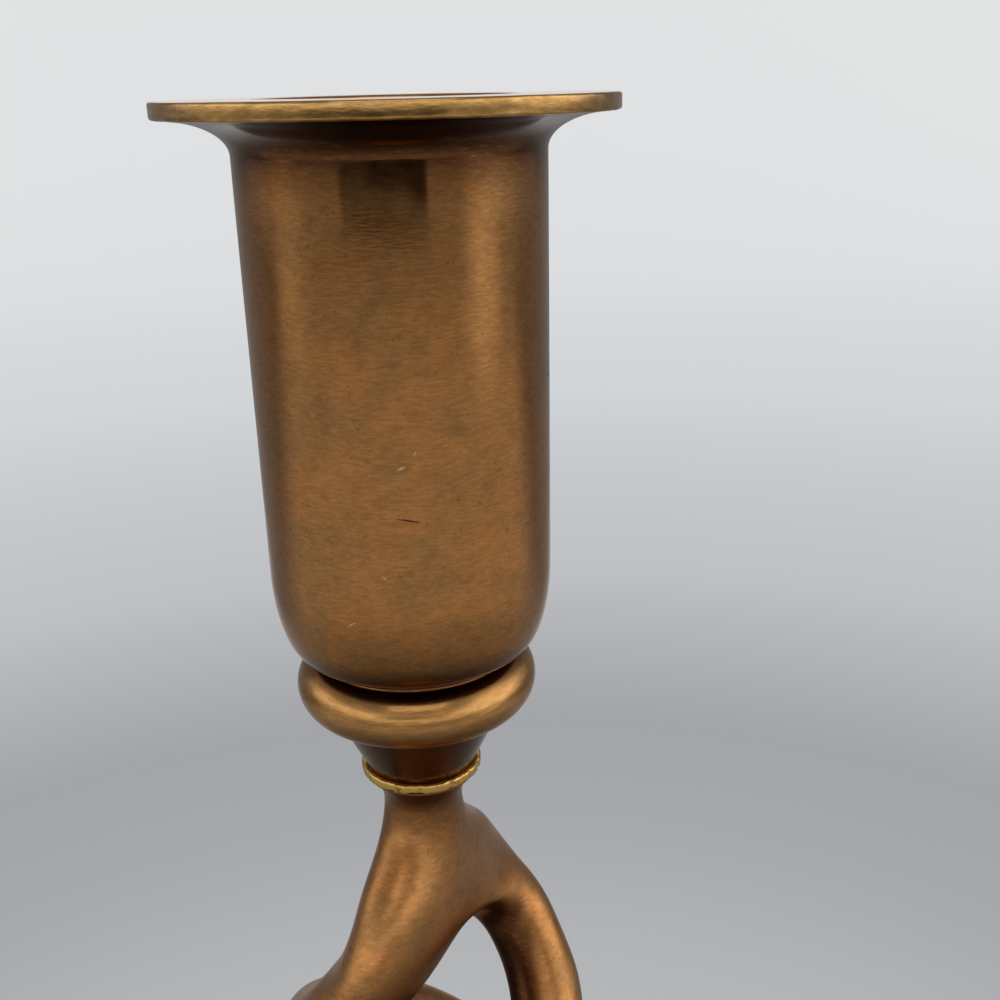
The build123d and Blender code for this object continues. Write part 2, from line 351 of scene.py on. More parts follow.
def patina_metal(name, roughness, round_marks, cross_marks, bump_depth, recess_mask,
                 wear_and_highlight_mask=None, nicks=(), drift=0.25):
    """Browned brass, rubbed, darker in its recesses as kept patina and painted shade, bare where it
    has wear, lighter where the wear mask also carries a painted highlight, nicked by use.
    """
    material, tree, shader = new_material(name, {"Metallic": 1.0})
    clouds = use_group(tree, patina_group, {
        "Warm": brown_warm, "Olive": brown_olive, "Dark": brown_dark, "Drift Amount": drift,
        "Recess": recess_mask(tree)})
    marks = use_group(tree, rubbing_group, {"Round": round_marks, "Across": cross_marks})
    strokes = maths(tree, "MULTIPLY", marks["Strokes"], stroke_amount)
    colour = blend_colours(tree, strokes, clouds["Color"], bare_gold)
    grain = spread(tree, marks["Grain"], *grain_shades)
    colour = blend_colours(tree, 1.0, colour, grain, "MULTIPLY")
    height = marks["Height"]
    if wear_and_highlight_mask:
        wear_and_highlight = wear_and_highlight_mask(tree)
        files = placed_noise(tree, scale=1300, detail=4, roughness=0.6, stretch=(0.5, 0.5, 1.7),
                             turn=rubbing_turn)
        filed = blend_colours(tree, ramp(tree, files, 0.35, 0.65), bare_olive, bare_gold)
        colour = blend_colours(tree, wear_and_highlight, colour, filed)
        filing = maths(tree, "MULTIPLY", maths(tree, "MULTIPLY", files, wear_and_highlight), file_depth)
        height = maths(tree, "ADD", height, filing)
    for place, turn, size, shade in nicks:
        spot = nick_mask(tree, place, turn, size)
        colour = blend_colours(tree, spot, colour, shade)
        height = maths(tree, "ADD", height, maths(tree, "MULTIPLY", spot, nick_depth))
    smoothest, dullest = cloud_roughness
    rough = spread(tree, clouds["Clouds"], roughness + smoothest, roughness + dullest)
    tree.links.new(rough, shader.inputs["Roughness"])
    dress(tree, shader, colour, height, bump_depth)
    return material


cup_wall = 2 * mm
cup_radius = 13.2 * mm
cup_foot_radius = 10.5 * mm
cup_round_height = 8.1 * mm
cup_taper = 0.1 * mm
flange_edge = 1.45 * mm
cove_drop = 2.9 * mm
socket_depth = 40 * mm
socket_dish = 4.8 * mm
socket_floor_radius = 6 * mm
mouth_round = 0.4 * mm
flange_round = 0.25 * mm
filed_width = 1.2 * mm
file_wave = 0.09 * mm
spigot_radius = 5.6 * mm
spigot_height = 1.4 * mm
shank_hole_radius = 2.75 * mm
cup_step = 0.6 * mm
round_steps = 256

flange_radius = cup_high.x
cup_bottom = cup_low.z + spigot_height
under_flange = cup_high.z - flange_edge
wall_top = under_flange - cove_drop
cove_axis = flange_radius - flange_round
socket_radius = cup_radius - cup_wall
dish_top = cup_high.z - socket_depth
socket_floor = dish_top - socket_dish

cup_outline = (
    [(shank_hole_radius, socket_floor), (shank_hole_radius, cup_low.z),
     (spigot_radius, cup_low.z), (spigot_radius, cup_bottom)]
    + arc((cup_foot_radius, cup_bottom + cup_round_height),
          cup_radius - cup_taper - cup_foot_radius, cup_round_height, -90, 0, steps=24)
    + arc((cove_axis, wall_top), cove_axis - cup_radius, cove_drop, 180, 90, steps=18)
    + round_edge(flange_radius, under_flange, cup_high.z, flange_round)
    + corner(socket_radius + mouth_round, cup_high.z - mouth_round, mouth_round, 90, 180)
    + arc((socket_floor_radius, dish_top), socket_radius - socket_floor_radius, socket_dish,
          0, -90, steps=12))
cup_mesh = turned_mesh(fine_outline(cup_outline, cup_step))

# the edge of the flange was filed by hand, so it waves a little
for vert in cup_mesh.verts:
    if hypot(vert.co.x, vert.co.y) > flange_radius - filed_width:
        spot = Vector((vert.co.x, vert.co.y, vert.co.z * 0.5)) / mm
        wave = file_wave * (0.5 + 0.5 * noise.noise(spot * 0.25) + 0.25 * noise.noise(spot * 1.1))
        move_edge(vert, wave, wave if vert.co.z < cup_high.z - flange_edge / 2 else -0.3 * wave)


def flange_edge_mask(tree):
    """Bare brass on the filed edge of the flange."""
    return reach_mask(tree, flange_radius - 0.5 * mm, flange_radius - 0.2 * mm)


def cove_patina_and_shade_mask(tree):
    """The cove under the flange and the seat on the knop, darker: partly kept patina, partly
    painted shade under the flange and a painted shadow at the seat.
    """
    outside = reach_mask(tree, flange_radius - 0.6 * mm, flange_radius - 0.3 * mm)
    cove = height_mask(tree, wall_top - 4 * mm, wall_top + 1 * mm)
    top = height_mask(tree, under_flange + 0.3 * mm, cup_high.z - 0.3 * mm)
    under = maths(tree, "MULTIPLY", rest(tree, outside), maths(tree, "SUBTRACT", cove, top))
    # the seat: a painted shadow of the gap between cup and knop, over some kept patina
    seat = height_mask(tree, cup_bottom + 0.4 * mm, cup_bottom + 3.2 * mm)
    dark = maths(tree, "MAXIMUM", under, rest(tree, seat))
    return maths(tree, "MULTIPLY", dark, 0.95)


def on_wall(turn, height):
    """Place on the outside of the cup, at a turn from its front and a height above its seat."""
    return (cup_radius * sin(radians(turn)), -cup_radius * cos(radians(turn)), cup_bottom + height)


# place, slope, size and colour of each nick
cup_nicks = (
    (on_wall(-2, 21.2 * mm), radians(-20), (0.5 * mm, 0.5 * mm, 0.2 * mm), scuff),
    (on_wall(3, 22.4 * mm), radians(-60), (0.3 * mm, 0.4 * mm, 0.12 * mm), scuff),
    (on_wall(0, 16.7 * mm), radians(12), (1.3 * mm, 0.6 * mm, 0.1 * mm), brown_dark),
    (on_wall(-10, 11.7 * mm), radians(50), (0.35 * mm, 0.5 * mm, 0.1 * mm), scuff),
    (on_wall(-24, 7.2 * mm), radians(-35), (0.8 * mm, 0.5 * mm, 0.06 * mm), scuff),
    (on_wall(75, 26 * mm), radians(20), (1.2 * mm, 1.2 * mm, 0.12 * mm), brown_dark),
    (on_wall(160, 19 * mm), radians(-15), (1.4 * mm, 1.4 * mm, 0.1 * mm), scuff))
cup_metal = patina_metal(
    "cup patina", roughness=0.14, round_marks=0.08, cross_marks=0.8, bump_depth=0.0045 * mm,
    recess_mask=cove_patina_and_shade_mask, wear_and_highlight_mask=flange_edge_mask, nicks=cup_nicks)
finish_piece(cup_mesh, "turned_cup", cup_metal, "candle_cup")


# Knops: a bead over an inverted cone, turned and browned like the cup. One stands under the cup
# and takes its spigot, the other stands upside down on the foot.
bead_radius = 11.55 * mm
bead_half = 2.9 * mm
bead_centre = 9.25 * mm
groove_radius = 9.3 * mm
neck_foot_radius = 5.5 * mm
neck_head_radius = 8.45 * mm
neck_round = 0.2 * mm
recess_depth = 1.5 * mm
recess_radius = 5.7 * mm
knop_step = 0.35 * mm
knop_low, knop_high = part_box("upper_knop")
knop_height = knop_high.z - knop_low.z
bead_axis = bead_radius - bead_half
bead_foot_turn = -90 - degrees(atan2(bead_axis - neck_head_radius, bead_half))
bead_head_turn = 90 - degrees(atan2(groove_radius - bead_axis, bead_half))
knop_outline = (
    corner(neck_foot_radius - neck_round, neck_round, neck_round, -90, 0)
    + arc((bead_axis, bead_centre), bead_half, bead_half, bead_foot_turn, bead_head_turn, steps=40)
    + corner(groove_radius - neck_round, knop_height - neck_round, neck_round, 0, 90)
    + [(recess_radius, knop_height), (recess_radius, knop_height - recess_depth),
       (shank_hole_radius, knop_height - recess_depth), (shank_hole_radius, 0)])


def bead_crown_wear_and_highlight(tree):
    """The widest part of the bead, brighter: partly wear from handling, partly a painted highlight.
    """
    crown = reach_mask(tree, bead_radius - 1.7 * mm, bead_radius - 0.3 * mm)
    return maths(tree, "MULTIPLY", crown, 0.45)


def knop_metal(name, seat, rise):
    """Browned brass for a knop that stands on its seat, or hangs from it with a rise of -1."""
    def neck_patina_and_shade_mask(tree):
        """The neck under the bead and the groove over it, darker: partly kept patina, partly
        painted shade.
        """
        above_neck = height_mask(tree, seat + rise * (bead_centre - bead_half - 0.6 * mm),
                                 seat + rise * (bead_centre - bead_half * 0.5))
        groove = height_mask(tree, seat + rise * (bead_centre + bead_half * 0.4),
                             seat + rise * (knop_height - 0.7 * mm))
        dark = maths(tree, "MAXIMUM", rest(tree, above_neck), groove)
        return maths(tree, "MULTIPLY", dark, 0.85)
    return patina_metal(name, roughness=0.21, round_marks=0.8, cross_marks=0.3,
                        bump_depth=0.012 * mm, recess_mask=neck_patina_and_shade_mask, wear_and_highlight_mask=bead_crown_wear_and_highlight)


for name, node, metal_name, seat, rise in (
        ("upper_bead", "upper_knop", "upper knop patina", knop_low.z, 1),
        ("lower_bead", "lower_knop", "lower knop patina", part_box("lower_knop")[1].z, -1)):
    points = [(r, seat + rise * z) for r, z in fine_outline(knop_outline, knop_step)]
    metal = knop_metal(metal_name, seat, rise)
    finish_piece(turned_mesh(points), name, metal, node)


# Seat rings: bare brass rings between each knop and its end of the column, filed flush by hand,
# so their edges are nicked and uneven.
ring_round = 0.2 * mm
ring_step = 0.2 * mm
ring_nick = 0.22 * mm
scratch_depth = 0.05 * mm


def bare_brass(name, tint, dirt, roughness):
    """Filed brass that was never browned, dirty in its nicks."""
    material, tree, shader = new_material(name, {"Metallic": 1.0, "Roughness": roughness})
    grime = placed_noise(tree, scale=1400, detail=5, roughness=0.65)
    files = placed_noise(tree, scale=900, detail=3, roughness=0.6, stretch=(1, 1, 0.25))
    mask = maths(tree, "MULTIPLY", ramp(tree, grime, 0.48, 0.7), dirt)
    dress(tree, shader, blend_colours(tree, mask, tint, brown_dark), files, scratch_depth)
    return material


ring_metal = bare_brass("filed brass", srgb(208, 168, 92), dirt=0.75, roughness=0.27)


def ring_piece(name, node):
    """A seat ring with its edges nicked by the file."""
    low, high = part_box(node)
    outline = ([(shank_hole_radius, low.z)] + round_edge(high.x, low.z, high.z, ring_round)
               + [(shank_hole_radius, high.z)])
    bm = turned_mesh(fine_outline(outline, ring_step))
    for vert in bm.verts:
        if hypot(vert.co.x, vert.co.y) > high.x - 2 * ring_round:
            spot = Vector((vert.co.x, vert.co.y, 0)) / mm
            nick = ring_nick * (
                max(0, noise.noise(spot * 1.3)) + 0.45 * max(0, noise.noise(spot * 3.9)))
            edge = 1 - min(1, (vert.co.z - low.z) / (2 * ring_round))
            move_edge(vert, nick, nick * edge)
    return finish_piece(bm, name, ring_metal, node)


ring_piece("upper_ring", "upper_seat_ring")
ring_piece("lower_ring", "lower_seat_ring")


# Twisted column: one brass casting. A round waist under the ring spreads into a flat shoulder,
# which parts into two strands that wind round an open middle, and the lower end is the same turned
# over. The casting was filed and rubbed by hand, so it is a little uneven, and then browned.
seat_radius = 5.65 * mm
seat_edge = 0.3 * mm
waist_radius = 3.9 * mm
waist_drop = 3.6 * mm
shoulder_drop = 17.6 * mm
shoulder_reach = 14.9 * mm
shoulder_thickness = 5.0 * mm
shoulder_flatness = 0.12
crotch_drop = 20.4 * mm
crotch_thickness = 3.4 * mm
saddle_fullness = 0.7
strand_radius = 3.95 * mm
strand_start = 23.6 * mm
strand_swell = 1.01
twist_radius = 12.45 * mm
turn_length = 55 * mm
fork_drop = 13.4 * mm
unwind_length = 18 * mm
fork_top = 12 * mm
fork_foot = 28 * mm
fork_passes = 6
fork_swell = 1.04
casting_wave = 0.07 * mm
slope_step = 0.1 * mm
oval_points = 32
strand_points = 24
strand_rings = 22
column_low, column_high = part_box("twist_column")
column_middle = (column_low.z + column_high.z) / 2
half_column = (column_high.z - column_low.z) / 2


def strand_turn(height):
    """Turn of the strands at a height above the middle of the column, slower near the shoulder."""
    reach = half_column - fork_drop
    unwound = min(max(height - reach + unwind_length, 0), unwind_length)
    return (min(height, reach) - unwound ** 2 / unwind_length / 2) * 2 * pi / turn_length


def oval_ring(drop, reach, thickness, squareness=1.0):
    """Level oval of the shoulder at a depth under its end, turned with the strands."""
    height = half_column - drop
    ring = bmesh.ops.create_circle(column, segments=oval_points, radius=1)["verts"]
    for vert in ring:
        side = Vector((abs(vert.co.x) ** squareness, abs(vert.co.y) ** squareness, 0))
        vert.co = Vector((reach * side.x * (1 if vert.co.x > 0 else -1),
                          thickness * side.y * (1 if vert.co.y > 0 else -1), 0))
    place = (Matrix.Translation((0, 0, column_middle + height))
             @ Matrix.Rotation(strand_turn(height), 4, "Z"))
    bmesh.ops.transform(column, matrix=place, verts=ring)
    return ring


def strand_ring(height, first_turn, radius):
    """Round section of a strand, square to the line that it follows."""
    def centre(level):
        turn = first_turn + strand_turn(level)
        return Vector((twist_radius * cos(turn), twist_radius * sin(turn), level))
    along = (centre(height + slope_step) - centre(height - slope_step)).normalized()
    outward = Vector((centre(height).x, centre(height).y, 0)).normalized()
    across = along.cross(outward)
    facing = Matrix((outward, across, outward.cross(across))).transposed().to_4x4()
    place = Matrix.Translation(centre(height) + Vector((0, 0, column_middle))) @ facing
    return bmesh.ops.create_circle(
        column, segments=strand_points, radius=radius, matrix=place)["verts"]


def ring_edges(ring):
    """Edges between neighbouring points of a ring."""
    touching = {edge for vert in ring for edge in vert.link_edges}
    return [edge for edge in touching if all(vert in ring for vert in edge.verts)]


# each section's depth and radius down to the waist, then its shares of the way to the shoulder
waist_sections = (
    (0, shank_hole_radius), (0, seat_radius), (seat_edge, seat_radius),
    (seat_edge + 0.35 * mm, 5.2 * mm), (1.6 * mm, 4.45 * mm), (2.5 * mm, 4.05 * mm),
    (waist_drop, waist_radius))
shoulder_shares = (
    (0.16, 0.06, 0.06), (0.32, 0.22, 0.2), (0.46, 0.43, 0.4), (0.6, 0.63, 0.65),
    (0.74, 0.8, 0.85), (0.87, 0.92, 0.97), (1, 1, 1))
column = bmesh.new()
rings = [oval_ring(drop, radius, radius) for drop, radius in waist_sections]
for drop_share, reach_share, thickness_share in shoulder_shares:
    rings.append(oval_ring(
        waist_drop + (shoulder_drop - waist_drop) * drop_share,
        waist_radius + (shoulder_reach - waist_radius) * reach_share,
        waist_radius + (shoulder_thickness - waist_radius) * thickness_share,
        1 - shoulder_flatness * drop_share))
for upper, lower in zip(rings, rings[1:]):
    bmesh.ops.bridge_loops(column, edges=ring_edges(upper) + ring_edges(lower))

# the web between the strands: a saddle from the front of the last oval, under the axis, to its back
last = rings[-1]
turn_back = Matrix.Rotation(-strand_turn(half_column - shoulder_drop), 3, "Z")
unturned = {vert: turn_back @ vert.co for vert in last}
front = min(last, key=lambda v: unturned[v].y)
back = max(last, key=lambda v: unturned[v].y)
saddle_points = strand_points - oval_points // 2 - 1
saddle_turn = Matrix.Rotation(strand_turn(half_column - crotch_drop), 3, "Z")
saddle = [front]
for i in range(1, saddle_points + 1):
    bend = pi * i / (saddle_points + 1)
    depth = shoulder_drop + (crotch_drop - shoulder_drop) * sin(bend) ** saddle_fullness
    spot = saddle_turn @ Vector((0, -crotch_thickness * cos(bend), 0))
    saddle.append(column.verts.new((spot.x, spot.y, column_middle + half_column - depth)))
saddle.append(back)
saddle_edges = [column.edges.new(pair) for pair in zip(saddle, saddle[1:])]

for side, first_turn in ((1, 0), (-1, pi)):
    leg = [vert for vert in last if side * unturned[vert].x > -0.01 * mm] + saddle[1:-1]
    edges = [e for e in ring_edges(last) if all(v in leg for v in e.verts)] + saddle_edges
    for i in range(strand_rings + 1):
        height = (half_column - strand_start) * (1 - i / strand_rings)
        swell = fork_swell if half_column - height < fork_foot else strand_swell
        ring = strand_ring(height, first_turn, strand_radius * swell)
        rungs = bmesh.ops.bridge_loops(column, edges=edges + ring_edges(ring))["edges"]
        if i == 0:
            bmesh.ops.subdivide_edgering(column, edges=rungs, interp_mode="SURFACE", smooth=1.0,
                                         cuts=3, profile_shape="SMOOTH")
        edges = ring_edges(ring)

whole = column.verts[:] + column.edges[:] + column.faces[:]
lower_half = bmesh.ops.duplicate(column, geom=whole)["geom"]
lower_verts = [g for g in lower_half if isinstance(g, bmesh.types.BMVert)]
bmesh.ops.rotate(column, verts=lower_verts, cent=(0, 0, column_middle),
                 matrix=Matrix.Rotation(pi, 3, "X"))
bmesh.ops.remove_doubles(column, verts=column.verts[:], dist=0.01 * mm)
bmesh.ops.recalc_face_normals(column, faces=column.faces[:])


def from_end(vert):
    """How far a point of the column is from the nearer end."""
    return min(vert.co.z - column_low.z, column_high.z - vert.co.z)


fork_verts = [vert for vert in column.verts if fork_top < from_end(vert) < fork_foot]
for _ in range(fork_passes):
    bmesh.ops.smooth_vert(column, verts=fork_verts, factor=0.5,
                          use_axis_x=True, use_axis_y=True, use_axis_z=True)
column.normal_update()
for vert in column.verts:
    if from_end(vert) > waist_drop:
        spot = vert.co / mm
        wave = noise.noise(spot * 0.16) + 0.4 * noise.noise(spot * 0.45)
        vert.co = vert.co + vert.normal * (casting_wave * wave)


def column_patina_and_shade_mask(tree):
    """The column's ends under the rings and the inside of its twist, darker: partly kept patina,
    partly painted shade.
    """
    upper = height_mask(tree, column_high.z - 11 * mm, column_high.z - 1.5 * mm)
    lower = height_mask(tree, column_low.z + 1.5 * mm, column_low.z + 11 * mm)
    ends = maths(tree, "MAXIMUM", upper, rest(tree, lower))
    upper_fork, lower_fork = column_high.z - crotch_drop, column_low.z + crotch_drop
    above = height_mask(tree, upper_fork - 2 * mm, upper_fork + 1.5 * mm)
    over_foot = height_mask(tree, lower_fork - 1.5 * mm, lower_fork + 2 * mm)
    outer = reach_mask(tree, twist_radius - 2.6 * mm, twist_radius + 1.2 * mm)
    between = maths(tree, "MULTIPLY", rest(tree, above), over_foot)
    inside = maths(tree, "MULTIPLY", rest(tree, outer), between)
    return maths(tree, "MAXIMUM", maths(tree, "MULTIPLY", ends, 0.6), inside)


column_metal = patina_metal(
    "column patina", roughness=0.34, round_marks=0.25, cross_marks=0.8, bump_depth=0.018 * mm,
    recess_mask=column_patina_and_shade_mask, drift=0.35)
column_piece = finish_piece(
    column, "twisted_casting", column_metal, "twist_column")
smooth = column_piece.modifiers.new("smooth casting", "SUBSURF")
smooth.levels = smooth.render_levels = 2


# Foot: a hollow turned bell with a bead and a flat rim, browned and rubbed like the cup, and
# dark in the groove between the two. A boss under its crown holds the stud.
foot_low, foot_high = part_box("bell_foot")
rim_height = 4.2 * mm
rim_round = 0.4 * mm
rim_wall = 4.5 * mm
rim_land = 1.8 * mm
foot_bead_radius = 43.6 * mm
foot_bead_height = 8.6 * mm
crown_round_height = 5 * mm
crown_radius = 13.1 * mm
bell_wall = 3.2 * mm
boss_radius = 11 * mm
boss_height = 17 * mm
foot_step = 1.2 * mm
foot_radius = min(foot_high.x, foot_high.y)
foot_top = foot_high.z - spigot_height
crown_foot = foot_top - crown_round_height
rim_top = foot_low.z + rim_height
foot_bead_axis = foot_bead_radius - bead_half
bell_height = crown_foot - foot_low.z - foot_bead_height - bead_half
bell_width = foot_bead_axis - crown_radius
boss_foot = foot_top - boss_height
roof_share = (foot_bead_axis - boss_radius) / (bell_width + bell_wall)
roof_turn = 180 + degrees(atan2(sqrt(1 - roof_share ** 2), roof_share))
foot_outline = (
    [(shank_hole_radius, boss_foot), (shank_hole_radius, foot_high.z),
     (spigot_radius, foot_high.z), (spigot_radius, foot_top)]
    + arc((cup_foot_radius, crown_foot), crown_radius - cup_foot_radius, crown_round_height,
          90, 0, steps=10)
    + arc((foot_bead_axis, crown_foot), bell_width, bell_height, 180, 270, steps=36)
    + arc((foot_bead_axis, foot_low.z + foot_bead_height), bead_half, bead_half,
          90, -60, steps=24)
    + corner(foot_radius - rim_round, rim_top - rim_round, rim_round, 75, 0)
    + corner(foot_radius - rim_round, foot_low.z + rim_round, rim_round, 0, -90)
    + [(foot_radius - rim_wall, foot_low.z), (foot_radius - rim_wall, foot_low.z + rim_land)]
    + arc((foot_bead_axis, crown_foot), bell_width + bell_wall, bell_height + bell_wall,
          270, roof_turn, steps=24)
    + [(boss_radius, boss_foot)])


def rim_groove_mask(tree):
    """The groove between the bead and the rim of the foot, in a darker brown."""
    above = height_mask(tree, rim_top + 0.2 * mm, rim_top + 2 * mm)
    outside = reach_mask(tree, foot_bead_radius + 0.2 * mm, foot_bead_radius + 1.8 * mm)
    groove = maths(tree, "MULTIPLY", rest(tree, above), rest(tree, outside))
    return maths(tree, "MULTIPLY", groove, 0.7)


foot_metal = patina_metal(
    "foot patina", roughness=0.27, round_marks=1.0, cross_marks=0.4, bump_depth=0.022 * mm,
    recess_mask=rim_groove_mask)
foot_mesh = turned_mesh(fine_outline(foot_outline, foot_step))
finish_piece(foot_mesh, "turned_foot", foot_metal, "bell_foot")


# Screw in the floor of the cup: slotted brass screw that clamps cup, knop and ring to the
# column. It keeps its solid, in dirty brass.
def paint_solid(name, material):
    """Gives its material to a piece that keeps its own solid."""
    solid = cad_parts[name].data
    solid.materials.clear()
    solid.materials.append(material)


paint_solid("cup_screw", bare_brass("screw brass", srgb(190, 158, 84), dirt=0.9, roughness=0.35))


# Fasteners inside the foot: stud, washer, spring washer and nut, all zinc plated steel. They
# keep their solids too.
def zinc_steel():
    """Zinc plate, dull, with faint clouds."""
    material, tree, shader = new_material("zinc plate", {"Metallic": 1.0, "Roughness": 0.4})
    clouds = placed_noise(tree, scale=700, detail=4, roughness=0.6)
    colour = blend_colours(tree, clouds, srgb(150, 152, 156), srgb(196, 198, 200))
    turning = placed_noise(tree, scale=300, detail=2, roughness=0.6, stretch=(1, 1, 14))
    dress(tree, shader, colour, turning, 0.04 * mm)
    return material


zinc = zinc_steel()
for name in ("foot_stud", "foot_washer", "spring_washer", "foot_nut"):
    paint_solid(name, zinc)


# Felt pad: a disc of green wool felt glued to the rim, so that the brass doesn't scratch a
# table. Its cut edge is rounded and ripples a little.
felt_low, felt_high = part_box("felt_pad")
felt_round = 0.5 * mm
felt_ripple = 0.12 * mm
felt_step = 1.5 * mm
felt_outline = ([(0, felt_low.z)] + round_edge(felt_high.x, felt_low.z, felt_high.z, felt_round)
                + [(0, felt_high.z)])


def felt_cloth():
    """Pressed wool: matted fibres with a soft sheen."""
    material, tree, shader = new_material("green felt", {
        "Roughness": 0.95, "Sheen Weight": 0.5, "Specular IOR Level": 0.15})
    mats = placed_noise(tree, scale=900, detail=6, roughness=0.7, distortion=0.8)
    fibres = placed_noise(tree, scale=4200, detail=3, roughness=0.7, distortion=1.5)
    base = blend_colours(
        tree, ramp(tree, mats, 0.35, 0.68), srgb(28, 62, 40), srgb(48, 88, 58))
    colour = blend_colours(tree, ramp(tree, fibres, 0.5, 0.8), base, srgb(82, 122, 88))
    dress(tree, shader, colour, fibres, 0.25 * mm)
    return material


felt_mesh = turned_mesh(fine_outline(felt_outline, felt_step), closed=False)
for vert in felt_mesh.verts:
    if hypot(vert.co.x, vert.co.y) > felt_high.x - 3 * felt_round:
        move_edge(vert, felt_ripple * (0.5 + 0.5 * noise.noise(vert.co / mm * 1.3)), 0)
finish_piece(felt_mesh, "felt_disc", felt_cloth(), "felt_pad")


# Stage: pale paper that runs from in front of the holder up into a backdrop. It takes the shadow
# near the holder and shows its own greys further out, lighter far off. Reflections in the brass see
# painted greys instead: a painted shadow around the holder, painted shade at the back corners and a
# painted bright band up the wall. A dark card beside the lens leaves a dark patch in the front of
# the cup.
def colour_stops(tree, factor, length, stops):
    """Colours along the factor, which runs from 0 to a length."""
    share = add_node(tree, "MapRange", {"Value": factor, "From Min": 0.0, "From Max": length})
    node = add_node(tree, "ValToRGB", {"Fac": share.outputs["Result"]})
    elements = node.color_ramp.elements
    elements[0].position, elements[0].color = stops[0][0] / length, stops[0][1]
    elements[1].position, elements[1].color = stops[-1][0] / length, stops[-1][1]
    for distance, colour in stops[1:-1]:
        elements.new(distance / length).color = colour
    return node.outputs["Color"]


def grey(value):
    """Even grey of a brightness."""
    return (value, value, value, 1)


def mix_shaders(tree, share, first, second):
    """The second shader in its share over the first."""
    mix = add_node(tree, "MixShader", {"Fac": share})
    tree.links.new(first, mix.inputs[1])
    tree.links.new(second, mix.inputs[2])
    return mix.outputs[0]


def sweep_paper():
    """Pale grey paper, clear from below and under the foot."""
    material, tree, shader = new_material("sweep paper", {
        "Base Color": srgb(212, 214, 216), "Roughness": 0.9, "Specular IOR Level": 0.1})
    parts, distance = place_parts(tree)
    seen = colour_stops(tree, distance, sweep_reach, (
        (0.16, srgb(172, 173, 176)), (0.22, srgb(168, 169, 172)), (0.31, srgb(163, 164, 167)),
        (0.46, srgb(190, 192, 195)), (0.85, srgb(210, 213, 215)), (1.4, srgb(219, 221, 223)),
        (1.9, srgb(226, 227, 228))))
    # reflections only: a painted shadow, dark close to the holder and lighter further out
    painted_reflected_greys = colour_stops(tree, distance, sweep_reach, (
        (0.05, grey(0.1)), (0.12, grey(0.2)), (0.2, grey(0.33)), (0.32, grey(0.46)),
        (0.48, grey(0.64)), (0.8, grey(0.59)), (1.2, grey(0.46)), (1.8, grey(0.28))))
    # painted shade at the back corners and a painted bright band up the wall, in reflections only
    beside = maths(tree, "ABSOLUTE", parts["X"])
    behind = ramp(tree, parts["Y"], -0.02, 0.3)
    painted_dim_corner = maths(tree, "MULTIPLY", ramp(tree, beside, 0.04, 0.3), behind)
    painted_reflected_greys = blend_colours(tree, painted_dim_corner, painted_reflected_greys, grey(0.24))
    up_wall = ramp(tree, parts["Z"], 0.1, 0.22)
    painted_bright_wall = maths(tree, "MULTIPLY", up_wall, ramp(tree, beside, 0.6, 0.35))
    painted_reflected_greys = blend_colours(tree, painted_bright_wall, painted_reflected_greys, grey(0.95))
    path = add_node(tree, "LightPath").outputs
    shown = blend_colours(tree, path["Is Glossy Ray"], seen, painted_reflected_greys)
    shine = add_node(tree, "Emission", {"Color": shown, "Strength": 1.0})
    far_off = maths(tree, "MULTIPLY", ramp(tree, distance, 0.1, 0.26), path["Is Camera Ray"])
    own_greys = maths(tree, "MAXIMUM", far_off, path["Is Glossy Ray"])
    paper = mix_shaders(tree, own_greys, shader.outputs[0], shine.outputs[0])
    under_foot = maths(tree, "LESS_THAN", distance, felt_high.x - felt_round)
    backfacing = add_node(tree, "NewGeometry").outputs["Backfacing"]
    see_through = maths(tree, "MAXIMUM", backfacing, under_foot)
    clear = add_node(tree, "BsdfTransparent")
    surface = mix_shaders(tree, see_through, paper, clear.outputs[0])
    tree.links.new(surface, tree.nodes["Material Output"].inputs["Surface"])
    return material


def stage_piece(name, bm, material, seen=True):
    """A sheet that isn't part of the holder, and may be unseen and without a shadow."""
    sheet = mesh_object(bm, name, material)
    sheet.visible_camera = sheet.visible_shadow = seen
    return sheet


sweep_reach = 2.0
sweep_front = -2.2
sweep_back = 1.3
sweep_half_width = 2.2
sweep_bend = 0.5
sweep_top = 1.5
floor_gap = 0.03 * mm
sweep = bmesh.new()
points = [(sweep_front, -floor_gap), (sweep_back, -floor_gap)]
points += [(sweep_back + sweep_bend * sin(radians(a)), sweep_bend - sweep_bend * cos(radians(a)))
           for a in range(6, 91, 6)]
points += [(sweep_back + sweep_bend, sweep_top)]
verts = [sweep.verts.new((-sweep_half_width, y, z)) for y, z in points]
edges = [sweep.edges.new(pair) for pair in zip(verts, verts[1:])]
across = bmesh.ops.extrude_edge_only(sweep, edges=edges)["geom"]
bmesh.ops.translate(sweep, verts=[g for g in across if isinstance(g, bmesh.types.BMVert)],
                    vec=(2 * sweep_half_width, 0, 0))
sweep.normal_update()
if sweep.faces[:][0].normal.z < 0:
    bmesh.ops.reverse_faces(sweep, faces=sweep.faces[:])
stage_piece("sweep", sweep, sweep_paper())

card_half_width = 58 * mm
card_aside = -15 * mm
card_below = 21.5 * mm
card_above = -7 * mm
card_behind = 2 * mm
lens_height = cup_high.z + camera_rise
card = bmesh.new()
bmesh.ops.create_grid(card, x_segments=1, y_segments=1, size=1, matrix=(
    Matrix.Translation((card_aside, -camera_distance - card_behind,
                        lens_height + (card_above - card_below) / 2))
    @ Matrix.Diagonal((card_half_width, 1, (card_above + card_below) / 2, 1))
    @ Matrix.Rotation(pi / 2, 4, "X")))
card_black, card_tree, card_shader = new_material("dark card", {"Specular IOR Level": 0.0})
to_right = ramp(card_tree, place_parts(card_tree)[0]["X"], -8 * mm, 14 * mm)
card_shades = blend_colours(card_tree, to_right, srgb(10, 8, 8), srgb(58, 51, 46))
card_tree.links.new(card_shades, card_shader.inputs["Base Color"])
stage_piece("lens_card", card, card_black, seen=False).visible_diffuse = False


